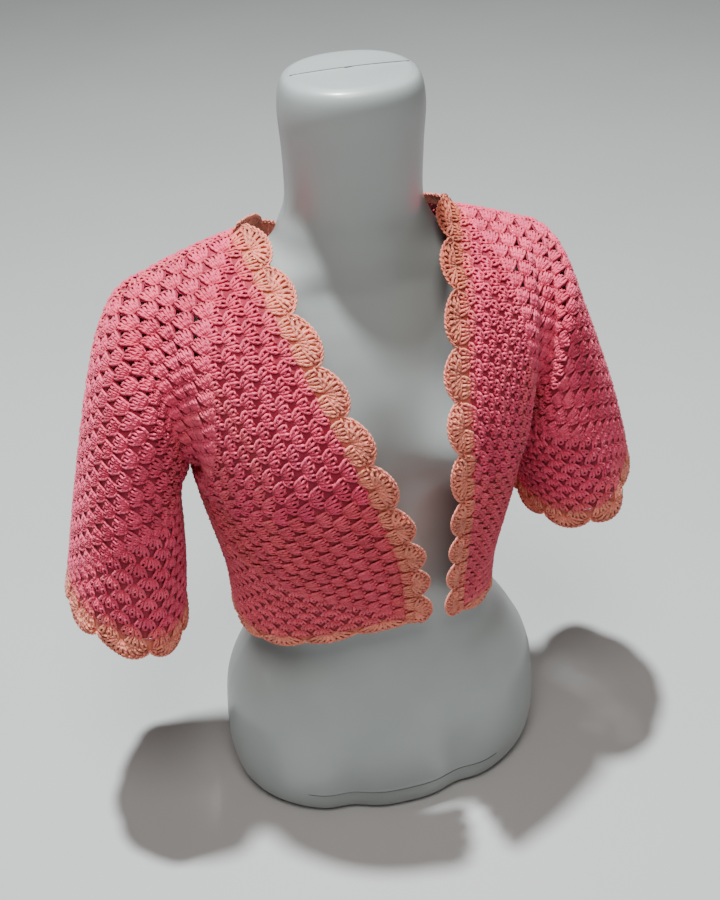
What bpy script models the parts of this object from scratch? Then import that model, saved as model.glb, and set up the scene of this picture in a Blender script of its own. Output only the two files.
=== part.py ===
"""Cropped crocheted cardigan on a limbless dress form.

The cardigan is two crocheted hexagons, each folded into half a front, half a back and a sleeve.
Each of these stretches, and each stretch of the scalloped border, is a wall of its own here.
Metres, +Z up, +X to the wearer's left, the fronts face -Y. The origin is the middle of the form's base.
"""

import math
from collections import namedtuple

import bmesh
import bpy
import numpy as np

CLOTH = 0.0030  # wall of the crocheted cloth
SEAM = 0.0003  # gap between two pieces at a seam
PIT_GAP = 0.0020  # the sleeve's extra gap right under the arm, where the walls turn sharply
PIT_REACH = 0.07  # share of the armhole over which that extra gap fades
FORM_POINTS = 44  # points around a ring of the form
LOWER_ROWS = 5  # wall rows from the hem to the underarm
UPPER_ROWS = 12  # wall rows from the underarm to the shoulder
FRONT_COLUMNS = 9
NECK_COLUMNS = 4  # back columns under the neck edge, the rest match the front's
SLEEVE_ROWS = 11
LOBE_POINTS = 7  # wall steps along one scallop

LOBE_PITCH = 0.047  # two clusters of the crochet to a scallop
LOBE_DEPTH = 0.012
LOBE_ROUNDNESS = 0.6  # power of the sine that draws a scallop; smaller is fuller
BORDER_WIDTH = 0.015  # border between the cloth and the scallops' notches
BORDER_SHARES = (0.0, 0.5, 1.0)  # the border's lines of points, from the cloth to the scallops
HEM_BORDER = 0.009
HEM_LOBE = 0.006
NECK_BORDER = 0.011
NECK_LOBE = 0.005
STAND_FROM = 0.50  # heights between which the border begins to stand up like a collar
STAND_TO = 0.60
STAND = {"right": 0.004, "neck": 0.007, "left": 0.010}

MIDDLE = -0.014  # the cardigan sits a little towards the wearer's right
NECK_EDGE = {"right": 0.093, "left": 0.104}  # from the middle to the cloth at the shoulder seam
ROW_POWER = 2.35  # how square the body's sections are
SAG_POWER = 1.7  # how the height changes along a row, from its middle to its side
SWING_POWER = 1.4  # how a sleeve's swing grows towards its cuff
EVEN_FROM = 0.35  # share of the way up the chest where columns are evenly spaced in x
EDGE_LIMIT = 0.9  # the front edge stays within this share of the half width
SPRING = 0.0015  # how far the border lifts off the line of the cloth

UNDERARM = LOWER_ROWS / (LOWER_ROWS + UPPER_ROWS)  # share of the way up a panel
NECK_SHARE = NECK_COLUMNS / (NECK_COLUMNS + FRONT_COLUMNS)  # share of the way across a back

# The dress form
FormRing = namedtuple("FormRing", "height half_width front back centre_y")
FORM_RINGS = [
    FormRing(0.000, 0.145, 0.094, 0.090, 0.000),
    FormRing(0.005, 0.154, 0.102, 0.099, 0.000),
    FormRing(0.019, 0.162, 0.107, 0.107, 0.000),
    FormRing(0.048, 0.166, 0.109, 0.112, 0.000),
    FormRing(0.085, 0.165, 0.107, 0.115, 0.000),
    FormRing(0.128, 0.159, 0.104, 0.111, 0.000),
    FormRing(0.170, 0.140, 0.096, 0.097, 0.000),
    FormRing(0.208, 0.113, 0.086, 0.081, 0.000),
    FormRing(0.248, 0.099, 0.079, 0.073, 0.000),
    FormRing(0.290, 0.102, 0.080, 0.075, 0.001),
    FormRing(0.335, 0.110, 0.084, 0.081, 0.002),
    FormRing(0.385, 0.119, 0.088, 0.087, 0.003),
    FormRing(0.435, 0.127, 0.090, 0.091, 0.004),
    FormRing(0.480, 0.137, 0.086, 0.090, 0.005),
    FormRing(0.515, 0.146, 0.077, 0.083, 0.006),
    FormRing(0.542, 0.150, 0.067, 0.075, 0.006),
    FormRing(0.562, 0.147, 0.059, 0.067, 0.007),
    FormRing(0.577, 0.129, 0.054, 0.059, 0.008),
    FormRing(0.589, 0.101, 0.054, 0.055, 0.009),
    FormRing(0.603, 0.075, 0.055, 0.053, 0.010),
    FormRing(0.621, 0.064, 0.055, 0.054, 0.011),
    FormRing(0.642, 0.0575, 0.0555, 0.0550, 0.009),
    FormRing(0.685, 0.0575, 0.0560, 0.0555, 0.004),
    FormRing(0.716, 0.0590, 0.0575, 0.0570, 0.001),
    FormRing(0.734, 0.0575, 0.0560, 0.0555, -0.001),
    FormRing(0.744, 0.0520, 0.0505, 0.0500, -0.002),
    FormRing(0.748, 0.0430, 0.0415, 0.0410, -0.002),
]
FORM_SQUARENESS = 2.2
NECK_AXIS_Y = 0.009  # the form's neck at the cardigan's neckline
BUST = {"x": 0.070, "z": 0.432, "across": 0.036, "reach": 0.040, "rise": 0.036, "fade": 1.6}
GROIN = {"x": 0.056, "z": 0.015, "reach": 0.020, "height": 0.070, "depth": 0.006}

# Body of the cardigan: sections from the hem to the underarm
Level = namedtuple("Level", "front_z side_z half_width front_y back_y back_z")
LEVELS = [
    Level(0.268, 0.236, 0.1270, -0.106, 0.094, 0.240),
    Level(0.310, 0.280, 0.1290, -0.117, 0.096, 0.284),
    Level(0.352, 0.325, 0.1360, -0.131, 0.100, 0.327),
    Level(0.385, 0.368, 0.1440, -0.141, 0.103, 0.368),
    Level(0.412, 0.408, 0.1500, -0.146, 0.106, 0.408),
]
# and from the underarm to the shoulder seam, even steps round the armhole
Chest = namedtuple("Chest", "front_y front_z back_y back_z corner")
CHEST = [
    Chest(-0.146, 0.412, 0.106, 0.408, 0.42),
    Chest(-0.143, 0.468, 0.109, 0.465, 0.60),
    Chest(-0.121, 0.528, 0.106, 0.531, 0.85),
    Chest(-0.080, 0.586, 0.086, 0.590, 1.00),
    Chest(0.004, 0.636, 0.004, 0.636, 1.00),
]
NECK_DROP = 0.38  # share of the back's upper rows cut away at the middle of the neck

# Sleeve: its top line, its underarm line and its depth, from the armhole to the cuff
Sleeve = namedtuple("Sleeve", "top_x top_z under_x under_z centre_y front back")
SLEEVE = [
    Sleeve(0.168, 0.590, 0.150, 0.408, 0.004, 0.072, 0.076),
    Sleeve(0.193, 0.576, 0.165, 0.403, 0.003, 0.078, 0.082),
    Sleeve(0.216, 0.541, 0.173, 0.380, 0.001, 0.083, 0.086),
    Sleeve(0.235, 0.486, 0.175, 0.345, -0.001, 0.087, 0.089),
    Sleeve(0.256, 0.402, 0.176, 0.305, -0.003, 0.088, 0.090),
    Sleeve(0.279, 0.304, 0.180, 0.262, -0.005, 0.087, 0.090),
]
# How far each sleeve's cuff is swung out, lifted and set back, and how much its middle is drawn in
Hang = namedtuple("Hang", "out lift back slim")
HANG = {"right": Hang(-0.002, 0.008, 0.0, 0.004), "left": Hang(-0.008, 0.046, 0.018, 0.015)}

# Cloth edge of each front, x to the wearer's left, from the hem up
FrontEdge = namedtuple("FrontEdge", "height right left")
FRONT_EDGES = [
    FrontEdge(0.262, 0.019, 0.077),
    FrontEdge(0.350, 0.007, 0.074),
    FrontEdge(0.440, -0.019, 0.073),
    FrontEdge(0.520, -0.048, 0.075),
    FrontEdge(0.590, -0.075, 0.087),
    FrontEdge(0.640, -NECK_EDGE["right"], NECK_EDGE["left"]),
]

# Largest folds of the cloth, on a front ("front": across, up) or a sleeve ("sleeve": along, round).
# A fold runs from a start to an end; depth is inwards.
Fold = namedtuple("Fold", "side patch start end reach depth")
FOLDS = [
    Fold("right", "front", (1.00, 0.46), (0.97, 0.80), 0.13, 0.010),
    Fold("right", "sleeve", (0.02, 0.06), (0.10, 0.36), 0.11, 0.012),
    Fold("right", "sleeve", (0.45, 0.22), (1.00, 0.30), 0.09, 0.006),
    Fold("right", "sleeve", (0.40, 0.70), (1.00, 0.62), 0.10, 0.006),
    Fold("left", "front", (1.00, 0.46), (0.96, 0.84), 0.13, 0.011),
    Fold("left", "sleeve", (0.02, 0.06), (0.16, 0.40), 0.12, 0.014),
    Fold("left", "sleeve", (0.35, 0.26), (1.00, 0.36), 0.10, 0.008),
    Fold("left", "sleeve", (0.40, 0.70), (1.00, 0.66), 0.10, 0.006),
]

SIDES = {"right": -1.0, "left": 1.0}


def spline(rows, position):
    """A smooth curve through a table's rows; position runs from 0 to 1, the rows are even steps."""
    table = np.array(rows, dtype=float)
    last = len(table) - 1
    along = np.clip(np.asarray(position, dtype=float), 0.0, 1.0) * last
    first = np.minimum(along.astype(int), last - 1)
    t = (along - first)[..., None]
    before = table[np.maximum(first - 1, 0)]
    after = table[np.minimum(first + 2, last)]
    here, there = table[first], table[first + 1]
    bend = 2.0 * before - 5.0 * here + 4.0 * there - after
    turn = 3.0 * here - before - 3.0 * there + after
    return here + 0.5 * t * ((there - before) + t * (bend + t * turn))


def unit(vectors):
    return vectors / np.linalg.norm(vectors, axis=-1, keepdims=True)


def edge_x(side, height):
    """The cloth's front edge, in the side's own direction."""
    curve = spline(FRONT_EDGES, np.linspace(0.0, 1.0, 61))
    column = FrontEdge._fields.index(side)
    return SIDES[side] * np.interp(height, curve[:, 0], curve[:, column])


def armhole(share):
    """The armhole's front half and back half, from the underarm (0) to the shoulder (1)."""
    row = SLEEVE[0]
    turn = math.pi * share
    rise = 0.5 * (1.0 - np.cos(turn))
    x = row.under_x + (row.top_x - row.under_x) * rise
    z = row.under_z + (row.top_z - row.under_z) * rise
    return x, z, np.sin(turn)


def even_sweep(begin, end, across, share):
    """Share of the half width; steps are even round a section low down and even in x at the shoulder."""
    first, last = np.arcsin(begin), np.arcsin(end)
    wrapped = np.sin(first + (last - first) * np.clip(across, 0.0, 1.0))
    straight = begin + (end - begin) * across
    mix = np.clip(share / EVEN_FROM, 0.0, 1.0)
    return wrapped + (straight - wrapped) * mix * mix * (3.0 - 2.0 * mix)


def body_point(side, face, across, up):
    """A point of the body; face is front or back, across runs to the side, up to the shoulder."""
    row = SLEEVE[0]
    across, up = np.broadcast_arrays(np.asarray(across, float), np.asarray(up, float))
    below = spline(LEVELS, up / UNDERARM)
    share = np.clip((up - UNDERARM) / (1.0 - UNDERARM), 0.0, 1.0)
    if face == "back":
        middle = np.clip(across / NECK_SHARE, 0.0, 1.0)
        share = share * (1.0 - NECK_DROP * (1.0 - middle**3))
    above = spline(CHEST, share)
    arm_x, arm_z, bulge = armhole(share)
    low = up <= UNDERARM
    side_x = np.where(low, below[..., 2], arm_x)
    side_z = np.where(low, below[..., 1], arm_z)
    if face == "front":
        side_y = np.where(low, row.centre_y, row.centre_y - row.front * bulge)
        middle_y = np.where(low, below[..., 3], above[..., 0])
        middle_z = np.where(low, below[..., 0], above[..., 1])
        begin = np.clip(edge_x(side, middle_z) / side_x, -EDGE_LIMIT, EDGE_LIMIT)
        sweep = even_sweep(begin, 1.0, across, share)
    else:
        side_y = np.where(low, row.centre_y, row.centre_y + row.back * bulge)
        middle_y = np.where(low, below[..., 4], above[..., 2])
        middle_z = np.where(low, below[..., 5], above[..., 3])
        corner = NECK_EDGE[side] / row.top_x
        near = even_sweep(0.0, corner, across / NECK_SHARE, share)
        far = even_sweep(corner, 1.0, (across - NECK_SHARE) / (1.0 - NECK_SHARE), share)
        sweep = np.where(across < NECK_SHARE, near, far)
    power = np.where(low, 1.0 / ROW_POWER, above[..., 4])
    falls = np.clip(1.0 - np.abs(sweep) ** ROW_POWER, 0.0, 1.0)
    y = side_y + (middle_y - side_y) * falls**power
    z = side_z + (middle_z - side_z) * (1.0 - np.abs(sweep) ** SAG_POWER)
    return np.stack([SIDES[side] * side_x * sweep + MIDDLE, y, z], axis=-1)


def sleeve_point(side, along, around):
    """A point of the sleeve; around is 0 at the underarm, 0.25 at the front and 0.5 on top."""
    along, around = np.broadcast_arrays(np.asarray(along, float), np.asarray(around, float))
    row = spline(SLEEVE, along)
    turn = 2.0 * math.pi * around
    rise = 0.5 * (1.0 - np.cos(turn))
    swung = along**SWING_POWER
    x = row[..., 2] + (row[..., 0] - row[..., 2]) * rise + HANG[side].out * swung
    x = x - HANG[side].slim * np.sin(math.pi * along) ** 2
    z = row[..., 3] + (row[..., 1] - row[..., 3]) * rise + HANG[side].lift * swung
    depth = np.where(np.sin(turn) > 0.0, row[..., 5], row[..., 6])
    y = row[..., 4] - depth * np.sin(turn) + HANG[side].back * swung
    return np.stack([SIDES[side] * x + MIDDLE, y, z], axis=-1)


def fold_depth(side, patch, first, second):
    """How far the folds push a point of a patch inwards."""
    depth = np.zeros(np.broadcast(first, second).shape)
    for fold in (f for f in FOLDS if (f.side, f.patch) == (side, patch)):
        start, end = np.array(fold.start), np.array(fold.end)
        run = end - start
        share = ((first - start[0]) * run[0] + (second - start[1]) * run[1]) / run.dot(run)
        share = np.clip(share, 0.0, 1.0)
        off = np.hypot(first - start[0] - share * run[0], second - start[1] - share * run[1])
        depth += fold.depth * np.exp(-2.0 * (off / fold.reach) ** 2)
    return depth


def face_normals(grid):
    """The sum of the normals of the faces round each point of a grid."""
    one = grid[1:, 1:] - grid[:-1, :-1]
    two = grid[1:, :-1] - grid[:-1, 1:]
    faces = np.cross(one, two)
    total = np.zeros_like(grid)
    total[:-1, :-1] += faces
    total[1:, :-1] += faces
    total[:-1, 1:] += faces
    total[1:, 1:] += faces
    return total


def side_grids(side):
    """Points and outward normals of one side's front, back and sleeve, shared along their seams."""
    rows = LOWER_ROWS + UPPER_ROWS
    up = np.linspace(0.0, 1.0, rows + 1)[:, None]
    front_across = np.linspace(0.0, 1.0, FRONT_COLUMNS + 1)[None, :]
    back_across = np.linspace(0.0, 1.0, NECK_COLUMNS + FRONT_COLUMNS + 1)[None, :]
    along = np.linspace(0.0, 1.0, SLEEVE_ROWS + 1)[:, None]
    around = np.linspace(0.0, 1.0, 2 * UPPER_ROWS + 1)[None, :]
    points = {
        "front": body_point(side, "front", front_across, up),
        "back": body_point(side, "back", back_across, up),
        "sleeve": sleeve_point(side, along, around),
    }
    normals = shared_normals(side, points)
    fade = np.clip(up / UNDERARM, 0.0, 1.0)
    points["front"] -= normals["front"] * (fade * fold_depth(side, "front", front_across, up))[..., None]
    points["sleeve"] -= normals["sleeve"] * fold_depth(side, "sleeve", along, around)[..., None]
    seam = 0.5 * (points["front"][LOWER_ROWS:, -1] + points["sleeve"][0, : UPPER_ROWS + 1])
    points["front"][LOWER_ROWS:, -1] = seam
    points["sleeve"][0, : UPPER_ROWS + 1] = seam
    points["sleeve"][0, UPPER_ROWS:] = points["back"][LOWER_ROWS:, -1][::-1]
    points["sleeve"][0, UPPER_ROWS] = points["back"][-1, -1]
    points["front"][-1] = points["back"][-1, NECK_COLUMNS:]
    points["front"][: LOWER_ROWS + 1, -1] = points["back"][: LOWER_ROWS + 1, -1]
    points["sleeve"][:, -1] = points["sleeve"][:, 0]
    return points, shared_normals(side, points)


def shared_normals(side, points):
    """Unit normals that agree where two pieces meet."""
    front, back, sleeve = (face_normals(points[k]) for k in ("front", "back", "sleeve"))
    back, sleeve = -back, -sleeve
    rows = LOWER_ROWS
    lower = front[:rows, -1] + back[:rows, -1]
    front[:rows, -1] = back[:rows, -1] = lower
    arm_front = front[rows:, -1] + sleeve[0, : UPPER_ROWS + 1]
    arm_back = back[rows:, -1] + sleeve[0, UPPER_ROWS:][::-1]
    crown = arm_front[-1] + arm_back[-1]
    pit = arm_front[0] + arm_back[0]
    arm_front[-1] = arm_back[-1] = crown
    arm_front[0] = arm_back[0] = pit
    shoulder = front[-1, :-1] + back[-1, NECK_COLUMNS:-1]
    front[-1, :-1] = back[-1, NECK_COLUMNS:-1] = shoulder
    front[rows:, -1] = arm_front
    back[rows:, -1] = arm_back
    sleeve[0, : UPPER_ROWS + 1] = arm_front
    sleeve[0, UPPER_ROWS:] = arm_back[::-1]
    wrap = sleeve[1:, 0] + sleeve[1:, -1]
    sleeve[1:, 0] = sleeve[1:, -1] = wrap
    back[:, 0, 0] = 0.0  # the two backs meet on the middle plane
    units = {}
    for name, value in (("front", front), ("back", back), ("sleeve", sleeve)):
        units[name] = SIDES[side] * unit(value)
    return units


def part_along(grid, edge, gap):
    """Draws one edge of a grid back towards the row beside it."""
    moved = grid.copy()
    edges = {"first_row": (0, 1), "last_row": (-1, -2)}
    if edge in edges:
        here, beside = edges[edge]
        step = grid[beside] - grid[here]
        moved[here] += gap * step / np.linalg.norm(step, axis=-1, keepdims=True)
        return moved
    flat = part_along(grid.swapaxes(0, 1), edge.replace("column", "row"), gap)
    return flat.swapaxes(0, 1)


def material(name, colour, roughness):
    made = bpy.data.materials.new(name)
    made.use_nodes = True
    shader = made.node_tree.nodes["Principled BSDF"]
    shader.inputs["Base Color"].default_value = (*colour, 1.0)
    shader.inputs["Roughness"].default_value = roughness
    return made


def add_mesh(name, mesh, finish, home):
    bmesh.ops.recalc_face_normals(mesh, faces=mesh.faces)
    data = bpy.data.meshes.new(name)
    mesh.to_mesh(data)
    mesh.free()
    data.shade_smooth()
    data.materials.append(finish)
    made = bpy.data.objects.new(name, data)
    home.objects.link(made)
    return made


def wall(name, inner, normals, finish, home, tube=False):
    """A closed wall between a grid of points and the same grid moved out by the cloth's thickness."""
    rows, columns = inner.shape[:2]
    around = columns - 1 if tube else columns
    mesh = bmesh.new()
    layers = []
    for layer in (inner, inner + normals * CLOTH):
        layers.append([[mesh.verts.new(layer[r, c]) for c in range(around)] for r in range(rows)])
    for layer in layers:
        for r in range(rows - 1):
            for c in range(columns - 1):
                d = (c + 1) % around
                mesh.faces.new((layer[r][c], layer[r][d], layer[r + 1][d], layer[r + 1][c]))
    low, high = layers
    for r in (0, rows - 1):
        for c in range(columns - 1):
            d = (c + 1) % around
            mesh.faces.new((low[r][c], low[r][d], high[r][d], high[r][c]))
    if not tube:
        for c in (0, columns - 1):
            for r in range(rows - 1):
                mesh.faces.new((low[r][c], low[r + 1][c], high[r + 1][c], high[r][c]))
    return add_mesh(name, mesh, finish, home)


def form_ring(row):
    """One level section of the form, with the bust and the soft line between belly and thighs."""
    height, half_width, front, back, centre_y = row
    turn = 2.0 * math.pi * np.arange(FORM_POINTS) / FORM_POINTS
    square = 2.0 / FORM_SQUARENESS
    x = half_width * np.sign(np.cos(turn)) * np.abs(np.cos(turn)) ** square
    deep = np.abs(np.sin(turn)) ** square
    ahead = np.sin(turn) < 0.0
    y = np.where(ahead, -front * deep, back * deep)
    level = math.exp(-(((height - BUST["z"]) / BUST["reach"]) ** 2))
    near = np.exp(-(((np.abs(x) - BUST["x"]) / BUST["across"]) ** 2))
    fade = np.minimum(1.0, BUST["fade"] * deep)
    y = y - np.where(ahead, BUST["rise"] * level * near * fade, 0.0)
    groin = math.exp(-(((height - GROIN["z"]) / GROIN["height"]) ** 2))
    crease = np.exp(-(((np.abs(x) - GROIN["x"]) / GROIN["reach"]) ** 2))
    y = y + np.where(ahead, GROIN["depth"] * groin * crease, 0.0)
    return np.stack([x, y + centre_y, np.full(FORM_POINTS, height)], axis=-1)


def make_form(finish, home):
    mesh = bmesh.new()
    rings = [[mesh.verts.new(point) for point in form_ring(row)] for row in FORM_RINGS]
    for below, above in zip(rings, rings[1:]):
        for i in range(FORM_POINTS):
            j = (i + 1) % FORM_POINTS
            mesh.faces.new((below[i], below[j], above[j], above[i]))
    mesh.faces.new(rings[0])
    mesh.faces.new(rings[-1])
    return add_mesh("dress_form", mesh, finish, home)


def resample(line, *others):
    """Even steps along a line, LOBE_POINTS to a scallop; gives each step's values and its scallop."""
    steps = np.linalg.norm(np.diff(line, axis=0), axis=1)
    length = np.concatenate([[0.0], np.cumsum(steps)])
    lobes = max(1, round(length[-1] / LOBE_PITCH))
    places = np.linspace(0.0, length[-1], lobes * LOBE_POINTS + 1)
    sampled = []
    for values in (line, *others):
        sampled.append(np.stack([np.interp(places, length, values[:, k]) for k in range(3)], axis=-1))
    return sampled, np.linspace(0.0, lobes, len(places))


def border(name, line, normals, outward, width, depth, finish, home, tube=False, stand=0.0):
    """A scalloped strip outside a line of the cloth; stand lifts its edge, more towards the neck."""
    (points, ups, ways), place = resample(line, normals, outward)
    high = np.clip((points[:, 2] - STAND_FROM) / (STAND_TO - STAND_FROM), 0.0, 1.0)
    curl = stand * high * high * (3.0 - 2.0 * high)
    ups = unit(ups)
    ways = unit(ways - ups * np.sum(ways * ups, axis=-1, keepdims=True))
    lobe = np.abs(np.sin(math.pi * place)) ** LOBE_ROUNDNESS
    reach = width + depth * lobe
    columns = []
    for share in BORDER_SHARES:
        run = SEAM + (reach - SEAM) * share
        lift = SPRING * share + curl * share * share
        columns.append(points + ways * run[:, None] + ups * lift[:, None])
    grid = np.stack(columns, axis=1)
    ups = np.repeat(ups[:, None, :], len(BORDER_SHARES), axis=1)
    if tube:
        return wall(name, grid.swapaxes(0, 1), ups.swapaxes(0, 1), finish, home, tube=True)
    return wall(name, grid, ups, finish, home)


def make_side(side, cloth, peach, home):
    """One hexagon's front, back and sleeve with its front, hem and cuff borders."""
    points, normals = side_grids(side)
    front, back, sleeve = points["front"], points["back"], points["sleeve"]
    half = 0.5 * SEAM

    piece = part_along(front, "last_column", half)
    piece = part_along(piece, "last_row", half)
    wall(f"{side}_front", piece, normals["front"], cloth, home)

    piece = part_along(back, "last_column", half)
    piece = part_along(piece, "first_column", half)
    piece = part_along(piece, "last_row", half)
    wall(f"{side}_back", piece, normals["back"], cloth, home)

    around = np.linspace(0.0, 1.0, 2 * UPPER_ROWS + 1)
    from_pit = np.minimum(around, 1.0 - around)
    gap = half + PIT_GAP * np.exp(-((from_pit / PIT_REACH) ** 2))
    piece = part_along(sleeve, "first_row", gap[:, None])
    wall(f"{side}_sleeve", piece, normals["sleeve"], cloth, home, tube=True)

    down = unit(sleeve[-1] - sleeve[-2])
    border(f"{side}_cuff_border", sleeve[-1], normals["sleeve"][-1], down, BORDER_WIDTH,
           LOBE_DEPTH, peach, home, tube=True)

    hem = np.concatenate([front[0], back[0, ::-1][1:]])
    hem_up = np.concatenate([front[1], back[1, ::-1][1:]])
    hem_normals = np.concatenate([normals["front"][0], normals["back"][0, ::-1][1:]])
    hem_down = unit(hem - hem_up)
    inset = hem.copy()
    inset[-1] += unit(hem[-2] - hem[-1]) * half
    border(f"{side}_hem_border", inset, hem_normals, hem_down, HEM_BORDER, HEM_LOBE, peach, home)

    outward = unit(front[:, 0] - front[:, 1])
    foot = front[0, 0] + hem_down[0] * (HEM_BORDER + 0.5 * HEM_LOBE)
    edge = np.concatenate([[foot], front[:, 0]])
    edge_normals = np.concatenate([[normals["front"][0, 0]], normals["front"][:, 0]])
    outward = np.concatenate([[outward[0]], outward])
    border(f"{side}_front_border", edge, edge_normals, outward, BORDER_WIDTH, LOBE_DEPTH,
           peach, home, stand=STAND[side])
    return back[-1, : NECK_COLUMNS + 1], normals["back"][-1, : NECK_COLUMNS + 1]


def make_neck(right, left, peach, home):
    """The border round the back of the neck, from one shoulder seam to the other."""
    line = np.concatenate([right[0][::-1], left[0][1:]])
    normals = np.concatenate([right[1][::-1], left[1][1:]])
    inward = np.array([0.0, NECK_AXIS_Y, 0.0]) - line
    inward[:, 2] = 0.0
    border("neck_border", line, normals, unit(inward), NECK_BORDER, NECK_LOBE, peach, home,
           stand=STAND["neck"])


def main():
    for old in list(bpy.data.objects):
        bpy.data.objects.remove(old, do_unlink=True)
    home = bpy.data.collections.new("cardigan_on_dress_form")
    bpy.context.scene.collection.children.link(home)
    cloth = material("pink_crochet", (0.62, 0.12, 0.17), 0.9)
    peach = material("peach_crochet", (0.80, 0.38, 0.25), 0.9)
    plastic = material("white_plastic", (0.66, 0.68, 0.66), 0.25)
    make_form(plastic, home)
    right = make_side("right", cloth, peach, home)
    left = make_side("left", cloth, peach, home)
    make_neck(right, left, peach, home)


main()
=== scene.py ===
"""Looks of a cropped crocheted cardigan on a limbless dress form.

The cardigan is two crocheted hexagons. Each hexagon is worked from its middle, the underarm, in rounds of
three-stitch clusters, and is folded into half a front, half a back and a sleeve. Flat places on a hexagon
are given as X (-1 at the front edge or centre back, 0 at the underarm, 1 at the cuff) and Y (-1 at the
hem, 0 at the underarm, 1 at the shoulder). Lengths are metres unless a name says millimetres (mm).
"""

import math
from collections import namedtuple

import bpy
import numpy as np
from mathutils import Matrix, Vector


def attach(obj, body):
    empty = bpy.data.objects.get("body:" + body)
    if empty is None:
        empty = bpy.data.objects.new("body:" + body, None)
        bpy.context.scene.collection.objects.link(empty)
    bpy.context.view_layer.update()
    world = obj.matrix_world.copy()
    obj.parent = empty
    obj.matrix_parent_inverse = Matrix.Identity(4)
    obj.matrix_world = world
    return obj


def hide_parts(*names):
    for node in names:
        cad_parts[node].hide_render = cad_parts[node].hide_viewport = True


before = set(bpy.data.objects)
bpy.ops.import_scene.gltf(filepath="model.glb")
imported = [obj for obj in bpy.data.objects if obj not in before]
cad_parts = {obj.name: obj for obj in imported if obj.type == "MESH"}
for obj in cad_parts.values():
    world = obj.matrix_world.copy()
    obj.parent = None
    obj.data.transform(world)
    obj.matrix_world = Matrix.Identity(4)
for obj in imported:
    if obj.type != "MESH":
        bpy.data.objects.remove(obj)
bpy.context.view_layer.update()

rng = np.random.default_rng(7)

MM = 0.001
SIDES = {"right": -1.0, "left": 1.0}  # of the wearer; +X is to the wearer's left

# Surface of the cloth, as the solids have it
UNDERARM = 5 / 17  # share of the way up a panel
NECK_SHARE = 4 / 13  # share of the way across a back
MIDDLE = -0.014  # x of the middle of the cardigan
NECK_EDGE = {"right": 0.093, "left": 0.104}  # from the middle to the neck end of each shoulder seam
ROW_POWER = 2.35  # how square a row is, seen from above
SAG_POWER = 1.7  # how a row changes height from the middle to the side
SWING_POWER = 1.4  # how the hang of a sleeve grows towards its cuff
EVEN_FROM = 0.35  # share of the way up the armhole from which columns are evenly spaced in x
EDGE_LIMIT = 0.9  # a front edge stays within this share of the half width
NECK_DROP = 0.38  # of the rows above the underarm, the share that the centre back stops short

# Body: sections from the hem to the underarm, then from the underarm to the shoulder seam
Level = namedtuple("Level", "front_z side_z half_width front_y back_y back_z")
LEVELS = [
    Level(0.268, 0.236, 0.1270, -0.106, 0.094, 0.240),
    Level(0.310, 0.280, 0.1290, -0.117, 0.096, 0.284),
    Level(0.352, 0.325, 0.1360, -0.131, 0.100, 0.327),
    Level(0.385, 0.368, 0.1440, -0.141, 0.103, 0.368),
    Level(0.412, 0.408, 0.1500, -0.146, 0.106, 0.408),
]
Chest = namedtuple("Chest", "front_y front_z back_y back_z corner")
CHEST = [
    Chest(-0.146, 0.412, 0.106, 0.408, 0.42),
    Chest(-0.143, 0.468, 0.109, 0.465, 0.60),
    Chest(-0.121, 0.528, 0.106, 0.531, 0.85),
    Chest(-0.080, 0.586, 0.086, 0.590, 1.00),
    Chest(0.004, 0.636, 0.004, 0.636, 1.00),
]

# Sleeve: its top line, its underarm line and its depth, from the armhole to the cuff
Sleeve = namedtuple("Sleeve", "top_x top_z under_x under_z centre_y front back")
SLEEVE = [
    Sleeve(0.168, 0.590, 0.150, 0.408, 0.004, 0.072, 0.076),
    Sleeve(0.193, 0.576, 0.165, 0.403, 0.003, 0.078, 0.082),
    Sleeve(0.216, 0.541, 0.173, 0.380, 0.001, 0.083, 0.086),
    Sleeve(0.235, 0.486, 0.175, 0.345, -0.001, 0.087, 0.089),
    Sleeve(0.256, 0.402, 0.176, 0.305, -0.003, 0.088, 0.090),
    Sleeve(0.279, 0.304, 0.180, 0.262, -0.005, 0.087, 0.090),
]
# How far each sleeve's cuff is swung out, lifted and set back, and how much its middle is drawn in
Hang = namedtuple("Hang", "out lift back slim")
HANG = {"right": Hang(-0.002, 0.008, 0.0, 0.004), "left": Hang(-0.008, 0.046, 0.018, 0.015)}

# Cloth edge of each front, x to the wearer's left, from the hem up
FrontEdge = namedtuple("FrontEdge", "height right left")
FRONT_EDGES = [
    FrontEdge(0.262, 0.019, 0.077),
    FrontEdge(0.350, 0.007, 0.074),
    FrontEdge(0.440, -0.019, 0.073),
    FrontEdge(0.520, -0.048, 0.075),
    FrontEdge(0.590, -0.075, 0.087),
    FrontEdge(0.640, -NECK_EDGE["right"], NECK_EDGE["left"]),
]

# Largest folds, on a front (across, up) or a sleeve (along, round); depth is inwards
Fold = namedtuple("Fold", "side patch start end reach depth")
FOLDS = [
    Fold("right", "front", (1.00, 0.46), (0.97, 0.80), 0.13, 0.010),
    Fold("right", "sleeve", (0.02, 0.06), (0.10, 0.36), 0.11, 0.012),
    Fold("right", "sleeve", (0.45, 0.22), (1.00, 0.30), 0.09, 0.006),
    Fold("right", "sleeve", (0.40, 0.70), (1.00, 0.62), 0.10, 0.006),
    Fold("left", "front", (1.00, 0.46), (0.96, 0.84), 0.13, 0.011),
    Fold("left", "sleeve", (0.02, 0.06), (0.16, 0.40), 0.12, 0.014),
    Fold("left", "sleeve", (0.35, 0.26), (1.00, 0.36), 0.10, 0.008),
    Fold("left", "sleeve", (0.40, 0.70), (1.00, 0.66), 0.10, 0.006),
]

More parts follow.
